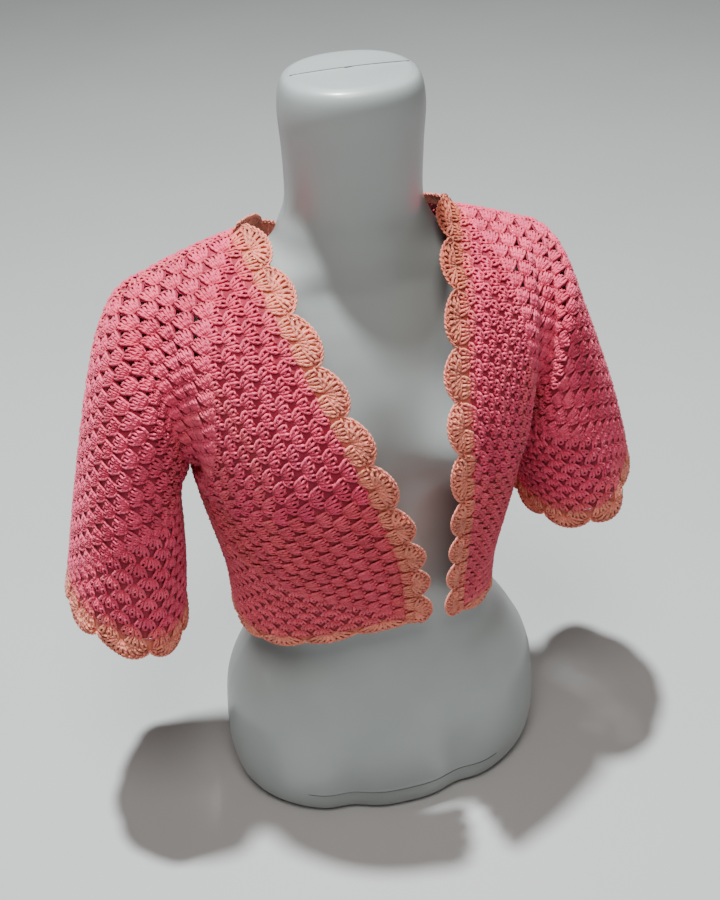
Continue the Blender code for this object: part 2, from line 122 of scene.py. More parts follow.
# Grids that the surface is read from
LOWER_ROWS, UPPER_ROWS = 20, 48
FRONT_COLUMNS, NECK_COLUMNS = 36, 16
SLEEVE_ROWS = 48
SEAM_FADE = 0.11  # share of a panel over which two folded edges are brought together
FLAT_STEPS = 56  # grid steps of a hexagon's flat map, for each unit of X or Y
MIDDLE_UP = {"front": 0.41, "back": 0.27}  # share of the way up where Y is 0, at X = -1

# Crochet
ROUNDS = 19
FLAT_MM = 196.0  # nominal length of one unit of X or Y
HEIGHT_MM = FLAT_MM / ROUNDS  # of a round
PITCH_MM = 2.0 * HEIGHT_MM  # of the clusters in a round
YARN_MM = 1.32  # radius of the yarn
WEB_MM = 1.0  # the thin web behind the stitches lies this far out of the wall's inner face


def add_object(name, data):
    made = bpy.data.objects.new(name, data)
    bpy.context.scene.collection.objects.link(made)
    return made


def unit(vectors):
    return vectors / np.linalg.norm(vectors, axis=-1, keepdims=True)


def ease(value):
    value = np.clip(value, 0.0, 1.0)
    return value * value * (3.0 - 2.0 * value)


def spline(rows, position):
    """A smooth curve through a table's rows; position runs from 0 to 1, the rows are even steps."""
    table = np.array(rows, dtype=float)
    last = len(table) - 1
    along = np.clip(np.asarray(position, dtype=float), 0.0, 1.0) * last
    first = np.minimum(along.astype(int), last - 1)
    t = (along - first)[..., None]
    before = table[np.maximum(first - 1, 0)]
    after = table[np.minimum(first + 2, last)]
    here, there = table[first], table[first + 1]
    bend = 2.0 * before - 5.0 * here + 4.0 * there - after
    turn = 3.0 * here - before - 3.0 * there + after
    return here + 0.5 * t * ((there - before) + t * (bend + t * turn))


def read_rows(rows, position):
    """Values of the spline through a table's rows, with each column under its name."""
    return type(rows[0])(*np.moveaxis(spline(rows, position), -1, 0))


def edge_x(side, height):
    """X of a front edge, from the middle, at a height."""
    curve = spline(FRONT_EDGES, np.linspace(0.0, 1.0, 61))
    column = FrontEdge._fields.index(side)
    return SIDES[side] * np.interp(height, curve[:, 0], curve[:, column])


def armhole(share):
    """X, z and the bulge in y of the armhole, from the underarm to the shoulder."""
    row = SLEEVE[0]
    turn = math.pi * share
    rise = 0.5 * (1.0 - np.cos(turn))
    x = row.under_x + (row.top_x - row.under_x) * rise
    z = row.under_z + (row.top_z - row.under_z) * rise
    return x, z, np.sin(turn)


def even_sweep(begin, end, across, share):
    """Across a row: evenly wrapped round the body up to the underarm, evenly spaced in x above."""
    first, last = np.arcsin(begin), np.arcsin(end)
    wrapped = np.sin(first + (last - first) * np.clip(across, 0.0, 1.0))
    straight = begin + (end - begin) * across
    return wrapped + (straight - wrapped) * ease(share / EVEN_FROM)


def body_point(side, face, across, up):
    """A point of the body; face is front or back, across runs to the side, up to the shoulder."""
    row = SLEEVE[0]
    across, up = np.broadcast_arrays(np.asarray(across, float), np.asarray(up, float))
    below = read_rows(LEVELS, up / UNDERARM)
    share = np.clip((up - UNDERARM) / (1.0 - UNDERARM), 0.0, 1.0)
    if face == "back":
        middle = np.clip(across / NECK_SHARE, 0.0, 1.0)
        share = share * (1.0 - NECK_DROP * (1.0 - middle**3))
    above = read_rows(CHEST, share)
    arm_x, arm_z, bulge = armhole(share)
    low = up <= UNDERARM
    side_x = np.where(low, below.half_width, arm_x)
    side_z = np.where(low, below.side_z, arm_z)
    if face == "front":
        side_y = np.where(low, row.centre_y, row.centre_y - row.front * bulge)
        middle_y = np.where(low, below.front_y, above.front_y)
        middle_z = np.where(low, below.front_z, above.front_z)
        begin = np.clip(edge_x(side, middle_z) / side_x, -EDGE_LIMIT, EDGE_LIMIT)
        sweep = even_sweep(begin, 1.0, across, share)
    else:
        side_y = np.where(low, row.centre_y, row.centre_y + row.back * bulge)
        middle_y = np.where(low, below.back_y, above.back_y)
        middle_z = np.where(low, below.back_z, above.back_z)
        corner = NECK_EDGE[side] / row.top_x
        near = even_sweep(0.0, corner, across / NECK_SHARE, share)
        far = even_sweep(corner, 1.0, (across - NECK_SHARE) / (1.0 - NECK_SHARE), share)
        sweep = np.where(across < NECK_SHARE, near, far)
    power = np.where(low, 1.0 / ROW_POWER, above.corner)
    falls = np.clip(1.0 - np.abs(sweep) ** ROW_POWER, 0.0, 1.0)
    y = side_y + (middle_y - side_y) * falls**power
    z = side_z + (middle_z - side_z) * (1.0 - np.abs(sweep) ** SAG_POWER)
    return np.stack([SIDES[side] * side_x * sweep + MIDDLE, y, z], axis=-1)


def sleeve_point(side, along, around):
    """A point of the sleeve; around is 0 at the underarm, 0.25 at the front and 0.5 on top."""
    along, around = np.broadcast_arrays(np.asarray(along, float), np.asarray(around, float))
    row = read_rows(SLEEVE, along)
    hang = HANG[side]
    turn = 2.0 * math.pi * around
    rise = 0.5 * (1.0 - np.cos(turn))
    swung = along**SWING_POWER
    x = row.under_x + (row.top_x - row.under_x) * rise + hang.out * swung
    x = x - hang.slim * np.sin(math.pi * along) ** 2
    z = row.under_z + (row.top_z - row.under_z) * rise + hang.lift * swung
    depth = np.where(np.sin(turn) > 0.0, row.front, row.back)
    y = row.centre_y - depth * np.sin(turn) + hang.back * swung
    return np.stack([SIDES[side] * x + MIDDLE, y, z], axis=-1)


def fold_depth(side, patch, first, second):
    """How far the folds push a point of a patch inwards."""
    depth = np.zeros(np.broadcast(first, second).shape)
    for fold in (f for f in FOLDS if (f.side, f.patch) == (side, patch)):
        start, end = np.array(fold.start), np.array(fold.end)
        run = end - start
        share = ((first - start[0]) * run[0] + (second - start[1]) * run[1]) / run.dot(run)
        share = np.clip(share, 0.0, 1.0)
        off = np.hypot(first - start[0] - share * run[0], second - start[1] - share * run[1])
        depth += fold.depth * np.exp(-2.0 * (off / fold.reach) ** 2)
    return depth


def face_normals(grid):
    """For each point of a grid, the sum of the normals of the faces round it."""
    one = grid[1:, 1:] - grid[:-1, :-1]
    two = grid[1:, :-1] - grid[:-1, 1:]
    faces = np.cross(one, two)
    total = np.zeros_like(grid)
    total[:-1, :-1] += faces
    total[1:, :-1] += faces
    total[:-1, 1:] += faces
    total[1:, 1:] += faces
    return total


def shared_normals(side, points):
    """Unit normals that agree where two panels meet."""
    front, back, sleeve = (face_normals(points[k]) for k in ("front", "back", "sleeve"))
    back, sleeve = -back, -sleeve
    rows = LOWER_ROWS
    lower = front[:rows, -1] + back[:rows, -1]
    front[:rows, -1] = back[:rows, -1] = lower
    arm_front = front[rows:, -1] + sleeve[0, : UPPER_ROWS + 1]
    arm_back = back[rows:, -1] + sleeve[0, UPPER_ROWS:][::-1]
    crown = arm_front[-1] + arm_back[-1]
    pit = arm_front[0] + arm_back[0]
    arm_front[-1] = arm_back[-1] = crown
    arm_front[0] = arm_back[0] = pit
    shoulder = front[-1, :-1] + back[-1, NECK_COLUMNS:-1]
    front[-1, :-1] = back[-1, NECK_COLUMNS:-1] = shoulder
    front[rows:, -1] = arm_front
    back[rows:, -1] = arm_back
    sleeve[0, : UPPER_ROWS + 1] = arm_front
    sleeve[0, UPPER_ROWS:] = arm_back[::-1]
    wrap = sleeve[1:, 0] + sleeve[1:, -1]
    sleeve[1:, 0] = sleeve[1:, -1] = wrap
    back[:, 0, 0] = 0.0  # so that both halves agree along the centre back
    return {name: SIDES[side] * unit(value) for name, value in
            (("front", front), ("back", back), ("sleeve", sleeve))}


def panel_grids(side):
    """Points and normals, six values a point, of one side's front, back and sleeve."""
    up = np.linspace(0.0, 1.0, LOWER_ROWS + UPPER_ROWS + 1)[:, None]
    front_across = np.linspace(0.0, 1.0, FRONT_COLUMNS + 1)[None, :]
    back_across = np.linspace(0.0, 1.0, NECK_COLUMNS + FRONT_COLUMNS + 1)[None, :]
    along = np.linspace(0.0, 1.0, SLEEVE_ROWS + 1)[:, None]
    around = np.linspace(0.0, 1.0, 2 * UPPER_ROWS + 1)[None, :]
    points = {
        "front": body_point(side, "front", front_across, up),
        "back": body_point(side, "back", back_across, up),
        "sleeve": sleeve_point(side, along, around),
    }
    normals = shared_normals(side, points)
    fade = np.clip(up / UNDERARM, 0.0, 1.0)
    points["front"] -= normals["front"] * (fade * fold_depth(side, "front", front_across, up))[..., None]
    points["sleeve"] -= normals["sleeve"] * fold_depth(side, "sleeve", along, around)[..., None]
    seam = 0.5 * (points["front"][LOWER_ROWS:, -1] + points["sleeve"][0, : UPPER_ROWS + 1])
    seam_back = points["back"][LOWER_ROWS:, -1]
    near_side = np.clip(1.0 - (1.0 - front_across[0]) / SEAM_FADE, 0.0, 1.0)[None, :, None]
    near_arm = np.clip(1.0 - along[:, 0] / SEAM_FADE, 0.0, 1.0)[:, None, None]
    front, sleeve = points["front"], points["sleeve"]
    front[LOWER_ROWS:] += (seam - front[LOWER_ROWS:, -1])[:, None] * near_side
    ring = np.concatenate([seam, seam_back[::-1][1:]])
    ring[UPPER_ROWS] = seam_back[-1]
    sleeve += (ring - sleeve[0])[None] * near_arm
    sleeve[:, -1] = sleeve[:, 0]
    top = points["back"][-1, NECK_COLUMNS:] - front[-1]
    near_top = np.clip(1.0 - (1.0 - up[:, 0]) / SEAM_FADE, 0.0, 1.0)[:, None, None]
    front += top[None] * near_top
    near_hem = near_side * (up <= UNDERARM)[:, :, None]
    front += (points["back"][:, -1] - front[:, -1])[:, None] * near_hem
    normals = shared_normals(side, points)
    return {name: np.concatenate([points[name], normals[name]], axis=-1) for name in points}


def read_grid(grid, row, column):
    """Values of a grid between its points; past its edges it runs straight on."""
    r = np.clip(np.floor(row), 0, grid.shape[0] - 2).astype(int)
    c = np.clip(np.floor(column), 0, grid.shape[1] - 2).astype(int)
    u, v = (row - r)[..., None], (column - c)[..., None]
    near = grid[r, c] * (1.0 - v) + grid[r, c + 1] * v
    far = grid[r + 1, c] * (1.0 - v) + grid[r + 1, c + 1] * v
    return near * (1.0 - u) + far * u


def read_line(line, places, at):
    return np.stack([np.interp(at, places, line[:, k]) for k in range(line.shape[1])], axis=-1)


def run_length(line):
    steps = np.linalg.norm(np.diff(line[:, :3], axis=0), axis=1)
    return np.concatenate([[0.0], np.cumsum(steps)])


FlatMap = namedtuple("FlatMap", "upper lower")


def even_columns(grid):
    """The grid with the points of each column spaced evenly along it."""
    columns = []
    for line in np.moveaxis(grid, 1, 0):
        places = run_length(line)
        columns.append(read_line(line, places, np.linspace(0.0, places[-1], len(line))))
    return np.stack(columns, axis=1)


def flat_map(grids, face):
    """From a hexagon's flat X and Y to points, normals and the distance past the armhole."""
    body, sleeve = grids[face], grids["sleeve"]
    across = np.linspace(0.0, 1.0, FLAT_STEPS + 1)
    knot = UNDERARM + (MIDDLE_UP[face] - UNDERARM) * (1.0 - across)
    columns = body.shape[1] - 1
    rows = body.shape[0] - 1
    upper, lower = [], []
    for y in np.linspace(0.0, 1.0, FLAT_STEPS + 1):
        line = read_grid(body, (knot + (1.0 - knot) * y) * rows, across * columns)
        around = 0.5 * y if face == "front" else 1.0 - 0.5 * y
        column = np.full_like(across, around * 2 * UPPER_ROWS)
        sleeve_line = read_grid(sleeve, across * SLEEVE_ROWS, column)
        line = np.concatenate([line, sleeve_line[1:]])
        places = run_length(line)
        arm, end = places[FLAT_STEPS], places[-1]
        line = np.concatenate([line, (places - arm)[:, None]], axis=-1)
        middle = arm + (0.5 * end - arm) * ease(y)
        inner = np.linspace(0.0, middle, FLAT_STEPS + 1)
        outer = np.linspace(middle, end, FLAT_STEPS + 1)[1:]
        upper.append(read_line(line, places, np.concatenate([inner, outer])))
    for y in np.linspace(-1.0, 0.0, FLAT_STEPS + 1):
        line = read_grid(body, knot * (1.0 + y) * rows, across * columns)
        places = run_length(line)
        line = np.concatenate([line, (places - places[-1])[:, None]], axis=-1)
        lower.append(read_line(line, places, np.linspace(0.0, places[-1], FLAT_STEPS + 1)))
    return FlatMap(even_columns(np.array(upper)), even_columns(np.array(lower)))


def on_flat(flat, x, y):
    """Seven values at flat places: point, unit normal and distance past the armhole."""
    high = read_grid(flat.upper, np.maximum(y, 0.0) * FLAT_STEPS, (x + 1.0) * FLAT_STEPS)
    low = read_grid(flat.lower, (y + 1.0) * FLAT_STEPS, (x + 1.0) * FLAT_STEPS)
    found = np.where((y >= 0.0)[..., None], high, low)
    return np.concatenate([found[..., :3], unit(found[..., 3:6]), found[..., 6:]], axis=-1)


# The six wedges of a hexagon. From a place along a round (t) and out from the underarm (r), each gives
# the face where t is below 0, the face where it is not, and X and Y.
WEDGES = {
    "front_edge": lambda t, r: ("front", "front", -r, t),
    "back_edge": lambda t, r: ("back", "back", -r, t),
    "hem": lambda t, r: ("front", "back", -np.abs(t), -r),
    "top_front": lambda t, r: ("front", "front", t, r),
    "top_back": lambda t, r: ("back", "back", t, r),
    "cuff": lambda t, r: ("back", "front", r, np.abs(t)),
}


def on_wedge(maps, wedge, t, r):
    """Points and normals at flat places of a wedge; a wedge over a fold lies on two faces."""
    below, above, x, y = WEDGES[wedge](t, r)
    found = on_flat(maps[above], x, y)
    if below != above:
        found = np.where((t < 0.0)[..., None], on_flat(maps[below], x, y), found)
    return found[..., :3], found[..., 3:6]


def node_of(maps, wedge, t, r):
    """The panel that a cluster belongs to: front, back or sleeve."""
    below, above, x, y = WEDGES[wedge](t, r)
    face = below if t < 0.0 else above
    past = on_flat(maps[face], x, y)[..., 6]
    return "sleeve" if y >= 0.0 and past > 0.0 else face


# Strands of one tall stitch: x across in mm, y up its post as a share, z out of the cloth in mm
LEG_A = [(-0.2, -0.12, 0.9), (-1.2, 0.20, 2.0), (-1.9, 0.62, 2.4), (-1.2, 1.02, 1.0)]
LEG_B = [(0.2, -0.12, 0.8), (0.9, 0.20, 2.1), (1.7, 0.60, 2.6), (1.2, 1.02, 1.1)]
WRAP = [(-2.0, 0.30, 1.0), (0.1, 0.44, 3.2), (2.4, 0.54, 1.4)]
LOOP = [(-3.3, 0.95, 0.8), (0.0, 0.86, 2.6), (3.3, 0.99, 0.9)]
Strand = namedtuple("Strand", "points radius")
STITCH = [Strand(LEG_A, 1.0), Strand(LEG_B, 1.05), Strand(WRAP, 0.80), Strand(LOOP, 0.85)]
STRAND_SIDES = 4
JITTER_MM = 0.25  # of each strand across and out of the cloth
STRAND_SHADES = 0.07  # change of brightness from strand to strand
END_TAPER = 0.5  # of a tube's radius at its two ends


class MeshMaker:
    """Gathers tubes and sheets into one mesh, with colour and yarn places on its points."""

    def __init__(self):
        self.points, self.tints, self.plies, self.faces = [], [], [], []
        self.count = 0

    def add(self, points, faces, tints, plies):
        self.points.append(points.reshape(-1, 3))
        self.tints.append(tints.reshape(-1, 3))
        self.plies.append(plies.reshape(-1, 3))
        self.faces.extend(f + self.count for f in faces)
        self.count += len(self.points[-1])

    def tubes(self, lines, normals, radius, sides, tints):
        """Closed tubes along many lines at once; lines and tints are strands x points x 3."""
        strands, length = lines.shape[:2]
        tangent = np.gradient(lines, axis=1)
        across = unit(np.cross(tangent, normals))
        outward = unit(np.cross(across, tangent))
        turn = 2.0 * math.pi * np.arange(sides) / sides
        taper = np.ones(length)
        taper[[0, -1]] = END_TAPER
        cosine, sine = np.cos(turn)[:, None], np.sin(turn)[:, None]
        ring = cosine * across[:, :, None] + sine * outward[:, :, None]
        points = lines[:, :, None] + radius * taper[None, :, None, None] * ring
        steps = np.linalg.norm(np.diff(lines, axis=1, prepend=lines[:, :1]), axis=-1)
        along = np.cumsum(steps, axis=1)
        plies = np.empty((strands, length, sides, 3))
        plies[..., 0], plies[..., 1] = np.cos(turn), np.sin(turn)
        plies[..., 2] = along[..., None]
        index = np.arange(strands * length * sides).reshape(strands, length, sides)
        ahead = np.roll(index, -1, axis=2)
        quads = np.stack([index[:, :-1], index[:, 1:], ahead[:, 1:], ahead[:, :-1]], axis=-1)
        caps = np.concatenate([index[:, 0], index[:, -1, ::-1]])
        tints = np.repeat(tints[:, :, None], sides, axis=2)
        self.add(points, [quads.reshape(-1, 4), caps], tints, plies)

    def sheets(self, points, tints):
        """Open sheets from grids of points, one or many; tints spread over the points."""
        index = np.arange(points[..., 0].size).reshape(points.shape[:-1])
        corners = [index[..., :-1, :-1], index[..., :-1, 1:], index[..., 1:, 1:], index[..., 1:, :-1]]
        quads = np.stack(corners, axis=-1).reshape(-1, 4)
        self.add(points, [quads], np.broadcast_to(tints, points.shape), np.zeros_like(points))

    def make(self, name, material):
        points = np.concatenate(self.points).astype(np.float32)
        loops = np.concatenate([f.reshape(-1) for f in self.faces]).astype(np.int32)
        sizes = np.concatenate([np.full(len(f), f.shape[1]) for f in self.faces])
        starts = np.concatenate([[0], np.cumsum(sizes)[:-1]]).astype(np.int32)
        mesh = bpy.data.meshes.new(name)
        mesh.vertices.add(len(points))
        mesh.vertices.foreach_set("co", points.ravel())
        mesh.loops.add(len(loops))
        mesh.loops.foreach_set("vertex_index", loops)
        mesh.polygons.add(len(starts))
        mesh.polygons.foreach_set("loop_start", starts)
        mesh.update(calc_edges=True)
        tint = mesh.attributes.new("tint", "FLOAT_COLOR", "POINT")
        colours = np.ones((len(points), 4), np.float32)
        colours[:, :3] = np.concatenate(self.tints)
        tint.data.foreach_set("color", colours.ravel())
        ply = mesh.attributes.new("ply", "FLOAT_VECTOR", "POINT")
        ply.data.foreach_set("vector", np.concatenate(self.plies).astype(np.float32).ravel())
        mesh.shade_smooth()
        mesh.materials.append(material)
        return add_object(name, mesh)


# Colours of the wool, linear, and the painted shade put on it
PINK = np.array([0.83, 0.092, 0.192])
DEEP_PINK = np.array([0.58, 0.034, 0.078])
SALMON = np.array([0.84, 0.155, 0.165])
PEACH = np.array([0.92, 0.30, 0.215])
# Painted shade: the brown that a border's peach is darkened to towards the neck
NECK_PAINTED_SHADE = np.array([0.45, 0.10, 0.05])
CREVICE_PAINTED_SHADE = {"dark": 0.36, "rich": 0.45, "rise_mm": 2.4}  # painted shade: wool deep in the cloth is painted darker and more saturated
WEB_RICH = 1.2  # painted shade: the web is painted darker and more saturated than the stitches before it
WEB_PAINTED_SHADE = 0.42
BORDER_WEB_PAINTED_SHADE = 0.62
DEEP_MIX = 0.42  # the most deep pink in the slow changes of the panels
SALMON_MIX = 0.45  # the most salmon in them
LOWER_SALMON = 0.4  # in the lower part of the body
LAST_ROUND_SALMON = 0.6  # the most
LEFT_PHASE = 1.3  # so that the two hexagons differ
CLUSTER_SHADES = (0.93, 1.06)


def mix(colour, other, share):
    return colour + (other - colour) * share


def wool_tint(colour, height_mm, noise):
    """Colour along a strand, by the height of its points in the cloth, with painted shade: darker and
    more saturated low down; noise is for the whole strand.
    """
    deep = 1.0 - ease(height_mm / CREVICE_PAINTED_SHADE["rise_mm"])[..., None]
    rich = colour ** (1.0 + CREVICE_PAINTED_SHADE["rich"] * deep)
    return rich * (1.0 - CREVICE_PAINTED_SHADE["dark"] * deep) * (1.0 + noise)[..., None]


# Painted shade on the web behind the stitches: darker and more saturated than the wool.
def painted_shade_web_tint(colour, shade):
    return shade * colour**WEB_RICH


def lay_stitches(maker, place, base, top, colour, spread=0.6, size=1.0):
    """Tall stitches from base to top, flat places in mm that place maps to the surface.

    Where spread is below 1, they go sideways early.
    """
    count = len(base)
    run = top - base
    forward = run / np.linalg.norm(run, axis=-1, keepdims=True)
    sideways = np.stack([forward[:, 1], -forward[:, 0]], axis=-1)
    jitter = rng.uniform(-JITTER_MM, JITTER_MM, (count, 1))
    for strand in STITCH:
        x, y, z = np.array(strand.points, float).T
        x = x[None, :] * size + jitter
        z = z[None, :] + rng.uniform(-JITTER_MM, JITTER_MM, (count, 1))
        drift = np.sign(y) * np.abs(y) ** spread
        lean = base[:, None, 0] + run[:, None, 0] * drift + sideways[:, None, 0] * x
        out = base[:, None, 1] + run[:, None, 1] * y + sideways[:, None, 1] * x
        point, normal = place(lean, out)
        line = point + normal * (z * MM)[..., None]
        noise = rng.uniform(-STRAND_SHADES, STRAND_SHADES, (count, 1)) + np.zeros_like(z)
        tints = wool_tint(colour[:, None, :], z, noise)
        maker.tubes(line, normal, YARN_MM * MM * strand.radius * size, STRAND_SIDES, tints)


POST_BASE_MM = (-2.7, 0.0, 2.7)  # along the round, where the three posts of a cluster start
POST_TOP_MM = (-7.1, 0.0, 7.1)  # and where they end
CLUSTER_RISE = 1.14  # height of a post, in rounds
CLUSTER_JITTER_MM = 0.5
WEB_LEVELS = (-0.05, 0.22, 0.45, 1.0)  # of a cluster's patch of web, in rounds
WEB_HALVES = {  # its half widths there, in pitches
    "open": (0.31, 0.37, 0.48, 0.51),
    "closed": (0.53, 0.53, 0.53, 0.53),
}
WEB_COLUMNS = 3

# Where the holes of the crochet show: over the shoulders, on the side of the neck
OPEN_WEDGES = ("top_front", "top_back")
OPEN_ROUND = 13
OPEN_FROM_MM, OPEN_TO_MM = -150.0, -6.0

Cut = namedtuple("Cut", "wide long area")


def clusters():
    """Wedge, round and place along the round, in mm, of every cluster of a hexagon."""
    for wedge in WEDGES:
        for level in range(1, ROUNDS + 1):
            for j in range(level):
                yield wedge, level, (j + 0.5) * PITCH_MM - level * HEIGHT_MM


def wool_colour(wedge, level, t, side):
    """Colour of a cluster: pink, with slow changes round the hexagon, and salmon low on the body."""
    turn = list(WEDGES).index(wedge) + 0.5 + 0.5 * t / (level * HEIGHT_MM)
    phase = LEFT_PHASE if side == "left" else 0.0
    wave = math.sin(2.1 * turn + 0.9 * level + phase) * math.sin(0.55 * level + 1.7 * turn + phase)
    colour = mix(PINK, DEEP_PINK, DEEP_MIX * max(0.0, wave))
    colour = mix(colour, SALMON, SALMON_MIX * max(0.0, -wave))
    if wedge == "hem" or (wedge.endswith("edge") and t < 0.0):
        colour = mix(colour, SALMON, LOWER_SALMON)
    if level == ROUNDS and wedge in ("front_edge", "hem", "cuff"):
        blend = 0.5 + 0.5 * math.sin(5.3 * turn + 2.0 + phase)
        colour = mix(colour, SALMON, LAST_ROUND_SALMON * blend)
    return colour * rng.uniform(*CLUSTER_SHADES)


def lay_web(maker, place, t, level, colour, halves):
    """The patches of thin web behind clusters, darkened with painted shade; the gaps left between them
    are the crochet's holes.
    """
    levels = np.array(WEB_LEVELS)
    across = np.linspace(-1.0, 1.0, WEB_COLUMNS)
    along = t[:, None, None] + PITCH_MM * halves[:, :, None] * across[None, None, :]
    out = (level[:, None, None] - 1.0 + levels[None, :, None]) * HEIGHT_MM + np.zeros_like(along)
    point, normal = place(along, out)
    maker.sheets(point + normal * WEB_MM * MM, painted_shade_web_tint(colour, WEB_PAINTED_SHADE)[:, None, None])


def make_panels(side, maps, wool):
    """Stitches and web of one hexagon, a pair of pieces for each of its three nodes."""
    groups = {}
    for wedge, level, t in clusters():
        out = (level - 0.5) * HEIGHT_MM
        node = node_of(maps, wedge, np.float64(t / FLAT_MM), np.float64(out / FLAT_MM))
        groups.setdefault((node, wedge), []).append((level, t, wool_colour(wedge, level, t, side)))
    stitches = {name: MeshMaker() for name in ("front", "back", "sleeve")}
    webs = {name: MeshMaker() for name in stitches}
    for (node, wedge), found in groups.items():
        def place(along, out, wedge=wedge):
            return on_wedge(maps, wedge, along / FLAT_MM, out / FLAT_MM)
        level, t, colour = (np.array(values, float) for values in zip(*found))
        t = t + rng.uniform(-CLUSTER_JITTER_MM, CLUSTER_JITTER_MM, len(found))
        opened = (level >= OPEN_ROUND) & (t > OPEN_FROM_MM) & (t < OPEN_TO_MM) & (wedge in OPEN_WEDGES)
        halves = np.where(opened[:, None], WEB_HALVES["open"], WEB_HALVES["closed"])
        lay_web(webs[node], place, t, level, colour, halves)
        for start, end in zip(POST_BASE_MM, POST_TOP_MM):
            base = np.stack([t + start, (level - 1.0) * HEIGHT_MM], axis=-1)
            top = np.stack([t + end, (level - 1.0 + CLUSTER_RISE) * HEIGHT_MM], axis=-1)
            lay_stitches(stitches[node], place, base, top, colour)
    for name in stitches:
        web = webs[name].make(f"{side}_{name}_web", wool)
        threads = stitches[name].make(f"{side}_{name}_stitches", wool)
        node = f"{side}_{name}"
        for piece in (web, threads):
            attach(piece, "root")
        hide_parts(node)
        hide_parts(node)


# Borders
LOBE_PITCH = 0.047
LOBE_ROUNDNESS = 0.6
SPRING = 0.0015  # how far the edge of a border springs off the cloth
STAND_FROM, STAND_TO = 0.50, 0.60  # heights between which a border begins to stand up
Border = namedtuple("Border", "width depth stand inner_mm posts rust")
BORDERS = {  # the width is without its scallops; inner_mm is the width of the inner row of clusters; rust is the most painted shade towards the neck
    "right_front_border": Border(0.015, 0.012, 0.004, 11.0, 7, 0.1),
    "left_front_border": Border(0.015, 0.012, 0.010, 11.0, 7, 0.75),
    "neck_border": Border(0.011, 0.005, 0.007, 0.0, 7, 0.1),
    "right_hem_border": Border(0.009, 0.006, 0.0, 0.0, 7, 0.0),
    "left_hem_border": Border(0.009, 0.006, 0.0, 0.0, 7, 0.0),
    "right_cuff_border": Border(0.015, 0.012, 0.0, 11.0, 8, 0.0),
    "left_cuff_border": Border(0.015, 0.012, 0.0, 11.0, 8, 0.0),
}
NECK_SHADE_FROM, NECK_SHADE_TO = 0.50, 0.60  # heights between which painted shade darkens the wool of a border towards brown


class Strip:
    """A scalloped strip outside a line of the cloth: from mm along and mm out to the surface."""

    def __init__(self, name, line, outward, closed=False):
        self.name, self.size, self.closed = name, BORDERS[name], closed
        self.places = run_length(line)
        self.length = self.places[-1]
        self.lobes = max(1, round(self.length / LOBE_PITCH))
        ups = unit(line[:, 3:])
        ways = unit(outward - ups * np.sum(outward * ups, axis=-1, keepdims=True))
        self.table = np.concatenate([line[:, :3], ups, ways], axis=-1)

    def reach(self, along):
        lobe = np.abs(np.sin(math.pi * along / self.length * self.lobes)) ** LOBE_ROUNDNESS
        return self.size.width + self.size.depth * lobe

    def colours(self, along_mm):
        """Colour of the wool along the strip: peach, darkened to brown with painted shade towards the
        neck.
        """
        height = np.interp(along_mm * MM, self.places, self.table[:, 2])
        share = self.size.rust * ease((height - NECK_SHADE_FROM) / (NECK_SHADE_TO - NECK_SHADE_FROM))[:, None]
        return mix(PEACH, NECK_PAINTED_SHADE, share)

    def place(self, along_mm, out_mm):
        along, out = along_mm * MM, out_mm * MM
        along = np.mod(along, self.length) if self.closed else np.clip(along, 0.0, self.length)
        found = read_line(self.table, self.places, along)
        point, up, way = found[..., :3], unit(found[..., 3:6]), unit(found[..., 6:])
        share = out / self.reach(along)
        curl = self.size.stand * ease((point[..., 2] - STAND_FROM) / (STAND_TO - STAND_FROM))
        lift = SPRING * share + curl * share * np.abs(share)
        return point + way * out[..., None] + up * lift[..., None], up


# The inner row of clusters, two for each scallop
INNER_BASE_MM = (-3.0, 0.0, 3.0)  # along the edge, where the three posts of a cluster start
INNER_TOP_MM = (-8.4, 0.0, 8.4)  # and where they end
INNER_START_MM = -1.5  # out from the edge of the cloth
INNER_LAP_MM = 0.5  # past the width of the row
INNER_SHADES = (0.88, 1.04)
INNER_SALMON = {"above": 0.75, "share": 0.45}  # a quarter of the clusters have some salmon

# The fans of the scallops
FAN_HALF = 0.47  # half the spread of a fan at its top, in scallops
FAN_FOOT_MM = 3.5  # and at its foot
FAN_LEAN_MM = 1.4  # the top of an outer post lies this much nearer the middle
FAN_LAP_MM = 2.0  # of the feet over the inner row
FAN_TOPS_MM = (-0.8, 0.6)
FAN_SHADES = (0.80, 1.06)
FAN_SPREAD = 0.85
FAN_SIZE = 1.15  # of the stitches of a fan, to those of the panels

# The twisted rim and the web
RIM_MM = 2.2  # from the rim's middle to the edge of the border
RIM_POINTS = 30  # for each scallop
RIM_TWIST_MM = 8.0
RIM_RADIUS_MM = 0.9  # of each strand, and of the twist
RIM_WAVE_MM = 0.6  # of the strands in and out of the cloth
BORDER_WEB_POINTS = 12  # for each scallop
BORDER_WEB_SHARES = (0.0, 0.35, 0.7, 1.0)
BORDER_WEB_INSET_MM = 2.0


def lay_rim(strip, maker):
    """Two strands that twist round each other along the scalloped edge."""
    along = np.linspace(0.0, strip.length / MM, strip.lobes * RIM_POINTS + 1)
    edge = strip.reach(along * MM) / MM - RIM_MM
    lines, ups = [], []
    for start in (0.0, math.pi):
        turn = 2.0 * math.pi * along / RIM_TWIST_MM + start
        point, up = strip.place(along, edge + RIM_RADIUS_MM * np.sin(turn))
        rise = RIM_RADIUS_MM + RIM_WAVE_MM * np.cos(turn)
        lines.append(point + up * (rise * MM)[:, None])
        ups.append(up)
    lines = np.array(lines)
    tints = np.broadcast_to(strip.colours(along), lines.shape)
    maker.tubes(lines, np.array(ups), RIM_RADIUS_MM * MM, STRAND_SIDES, tints)


